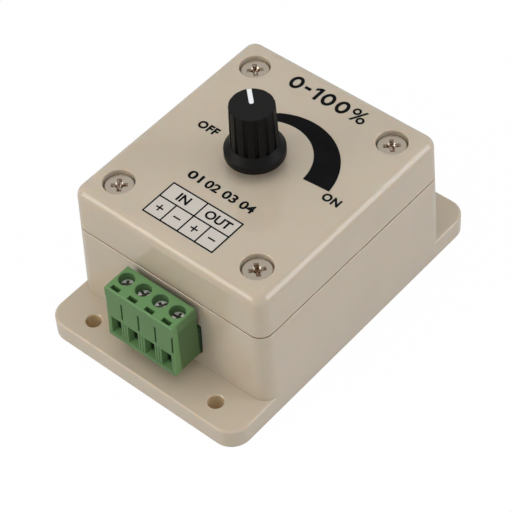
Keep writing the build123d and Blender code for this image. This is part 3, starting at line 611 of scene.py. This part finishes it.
def polarity_signs():
    """A plus or a minus in each lower cell of the table."""
    quarter = (TABLE_RIGHT - TABLE_LEFT) / 4
    middle_y = (TABLE_MIDDLE + TABLE_BOTTOM) / 2
    arm = 1.0
    half = 0.2
    signs = []
    for cell in range(4):
        x = TABLE_LEFT + (cell + 0.5) * quarter
        signs.append(bar(x - arm, middle_y - half, x + arm, middle_y + half))
        if cell % 2 == 0:
            signs.append(bar(x - half, middle_y + half, x + half, middle_y + arm))
            signs.append(bar(x - half, middle_y - arm, x + half, middle_y - half))
    return signs


def print_lid():
    """All the marks on the lid."""
    fill = [bar(TABLE_LEFT, TABLE_BOTTOM, TABLE_RIGHT, TABLE_TOP)]
    printed("print_table_fill", flat_mesh("print_table_fill", fill, FILL_THICKNESS), "print_grey")
    printed("print_table", flat_mesh("print_table", terminal_table()), "print_black")
    printed("print_signs", flat_mesh("print_signs", polarity_signs()), "print_black")
    printed("print_wedge", flat_mesh("print_wedge", level_wedge()), "print_black")
    printed("print_scale", flat_mesh("print_scale", level_scale()), "print_black")
    quarter = (TABLE_RIGHT - TABLE_LEFT) / 4
    word_y = (TABLE_TOP + TABLE_MIDDLE) / 2
    switch = (SWITCH_WORD_WEIGHT, SWITCH_WORD_SPACING)
    left = (TABLE_LEFT + quarter, word_y)
    right = (TABLE_RIGHT - quarter, word_y)
    texts = [
        ("print_off", "OFF", OFF_CENTRE, SWITCH_WORD_HEIGHT, OFF_WIDTH, *switch),
        ("print_on", "ON", ON_CENTRE, SWITCH_WORD_HEIGHT, ON_WIDTH, *switch),
        ("print_in", "IN", left, TABLE_WORD_HEIGHT, IN_WIDTH, TABLE_WORD_WEIGHT),
        ("print_out", "OUT", right, TABLE_WORD_HEIGHT, OUT_WIDTH, TABLE_WORD_WEIGHT),
    ]
    for cell in range(4):
        centre = (TABLE_LEFT + (cell + 0.5) * quarter, POLE_NUMBER_Y)
        size = (POLE_NUMBER_HEIGHT, POLE_NUMBER_WIDTH, POLE_NUMBER_WEIGHT)
        texts.append((f"print_pole_{cell + 1}", f"0{cell + 1}", centre, *size))
    for name, text, *layout in texts:
        printed(name, words(name, text, *layout), "print_black")


# Stage, light and camera


def ray_level(nodes, links, plain, mirrored, seen):
    """One level for plain light, one for reflections and one for the camera."""
    path = nodes.new("ShaderNodeLightPath")
    first = nodes.new("ShaderNodeMath")
    first.operation = "MULTIPLY_ADD"
    first.inputs[1].default_value = mirrored - plain
    first.inputs[2].default_value = plain
    second = nodes.new("ShaderNodeMath")
    second.operation = "MULTIPLY_ADD"
    second.inputs[1].default_value = seen - plain
    links.new(path.outputs["Is Glossy Ray"], first.inputs[0])
    links.new(path.outputs["Is Camera Ray"], second.inputs[0])
    links.new(first.outputs["Value"], second.inputs[2])
    return second.outputs["Value"]


def white_background():
    """White to the camera, a softer white in reflections and as light."""
    world = bpy.data.worlds.new("studio")
    bpy.context.scene.world = world
    world.use_nodes = True
    nodes, links = world.node_tree.nodes, world.node_tree.links
    nodes.clear()
    light = nodes.new("ShaderNodeBackground")
    light.inputs["Color"].default_value = (1, 0.985, 0.965, 1)
    out = nodes.new("ShaderNodeOutputWorld")
    strength = ray_level(nodes, links, plain=0.33, mirrored=0.6, seen=1.1)
    links.new(strength, light.inputs["Strength"])
    links.new(light.outputs["Background"], out.inputs["Surface"])


def pale_floor():
    """A white table that keeps a faint shadow."""
    half = 3.0
    mesh = bpy.data.meshes.new("floor")
    corners = [(-half, -half, 0), (half, -half, 0), (half, half, 0), (-half, half, 0)]
    mesh.from_pydata(corners, [], [(0, 1, 2, 3)])
    floor = bpy.data.objects.new("floor", mesh)
    bpy.context.scene.collection.objects.link(floor)
    floor.location.z = -FLOOR_DROP * MM
    material, nodes, links = new_material("floor")
    nodes.clear()
    paper = nodes.new("ShaderNodeBsdfDiffuse")
    paper.inputs["Color"].default_value = (0.86, 0.86, 0.86, 1)
    glow = nodes.new("ShaderNodeEmission")
    glow.inputs["Color"].default_value = (1, 1, 1, 1)
    mix = nodes.new("ShaderNodeMixShader")
    out = nodes.new("ShaderNodeOutputMaterial")
    strength = ray_level(nodes, links, plain=1.0, mirrored=0.55, seen=1.0)
    share = ray_level(nodes, links, plain=0.0, mirrored=0.98, seen=0.98)
    links.new(strength, glow.inputs["Strength"])
    links.new(share, mix.inputs["Fac"])
    links.new(paper.outputs["BSDF"], mix.inputs[1])
    links.new(glow.outputs["Emission"], mix.inputs[2])
    links.new(mix.outputs["Shader"], out.inputs["Surface"])
    mesh.materials.append(material)


def painted_shade_sheet():
    """Painted shade: a warm sheet in place of the shaded table that shows through the mounting holes."""
    margin = 3 * MM
    low = PLATE_LOW + Vector((margin, margin, 0))
    high = PLATE_HIGH - Vector((margin, margin, 0))
    mesh = bpy.data.meshes.new("painted_shade_sheet")
    corners = [(low.x, low.y, 0), (high.x, low.y, 0), (high.x, high.y, 0), (low.x, high.y, 0)]
    mesh.from_pydata(corners, [], [(0, 1, 2, 3)])
    sheet = bpy.data.objects.new("painted_shade_sheet", mesh)
    bpy.context.scene.collection.objects.link(sheet)
    sheet.location.z = -SHEET_DROP * MM
    material = new_material("painted_shade_sheet")[0]
    shader = material.node_tree.nodes["Principled BSDF"]
    shader.inputs["Base Color"].default_value = display(215, 185, 145)
    shader.inputs["Roughness"].default_value = 0.8
    mesh.materials.append(material)


def softbox(name, direction, distance, width, height, radiance, colour):
    """A rectangular lamp that faces the middle of the box from a direction."""
    lamp = bpy.data.lights.new(name, "AREA")
    lamp.shape = "RECTANGLE"
    lamp.color = colour
    lamp.size = width
    lamp.size_y = height
    lamp.energy = radiance * math.pi * width * height
    piece = bpy.data.objects.new(name, lamp)
    bpy.context.scene.collection.objects.link(piece)
    away = Vector(direction).normalized()
    piece.location = Vector((0, 0, LID_TOP * MM)) + away * distance
    piece.rotation_euler = away.to_track_quat("Z", "Y").to_euler()
    return piece


def studio_light():
    """A large lamp overhead and one for each bright edge of the lid."""
    overhead = softbox(
        "overhead", (0.12, -0.12, 1), distance=0.8, width=1.1, height=1.1, radiance=1.41,
        colour=(0.965, 0.99, 1),
    )
    overhead.visible_glossy = False
    softbox(
        "front_left", (-0.457, -0.76, 0.42), distance=0.7, width=0.46, height=0.31, radiance=3.7,
        colour=(1, 0.945, 0.86),
    )
    softbox(
        "right_back", (0.8, 0.475, 0.28), distance=0.7, width=0.3, height=0.43, radiance=3.3,
        colour=(0.94, 0.955, 1),
    )


def camera_at_photo():
    """The camera, aimed and turned as measured."""
    azimuth, elevation, roll = (math.radians(v) for v in (VIEW_AZIMUTH, VIEW_ELEVATION, VIEW_ROLL))
    back = Vector((
        math.sin(azimuth) * math.cos(elevation),
        -math.cos(azimuth) * math.cos(elevation),
        math.sin(elevation),
    ))
    right = Vector((0, 0, 1)).cross(back).normalized()
    up = back.cross(right)
    level_right, level_up = right.copy(), up.copy()
    right = level_right * math.cos(roll) + level_up * math.sin(roll)
    up = level_up * math.cos(roll) - level_right * math.sin(roll)
    data = bpy.data.cameras.new("camera")
    data.lens = LENS
    data.sensor_width = SENSOR
    data.clip_start = 0.01
    camera = bpy.data.objects.new("camera", data)
    bpy.context.scene.collection.objects.link(camera)
    turn = Matrix((right, up, back)).transposed().to_4x4()
    place = (Vector(VIEW_TARGET) + back * VIEW_DISTANCE) * MM
    camera.matrix_world = Matrix.Translation(place) @ turn
    bpy.context.scene.camera = camera


# Painted light and shade on the plug's faces
paint_plug_light_and_shade()
# Painted light on the walls of the mounting holes
paint_light_in_holes()
# Painted shade and warm reflection with painted glints in the lid screws' recesses, painted shade in the
# clamp screws' slots
paint_recess_shade_and_glints("screw_nickel", "lid_screws", display(158, 126, 97), display(255, 253, 250), 8e-5)
paint_recess_shade_and_glints("clamp_nickel", "clamp_screw_1", display(122, 116, 108), display(122, 116, 108), 0)
# Painted shade in the parting groove between base and lid
paint_light_and_shade_band(
    "box_plastic", PLATE_HIGH.z - GROOVE_FLOOR * MM, PLATE_HIGH.z + GROOVE_ROOF * MM,
    display(140, 120, 98),
)
# Painted sheen on the knob's top face
paint_light_and_shade_band("knob_black", KNOB_TOP - KNOB_SKIN * MM, KNOB_TOP + KNOB_SKIN * MM, display(26, 26, 26))
dress_nodes()
print_lid()
white_background()
pale_floor()
# A sheet of painted shade below the box
painted_shade_sheet()
studio_light()
camera_at_photo()
bpy.context.scene.view_settings.view_transform = "Standard"
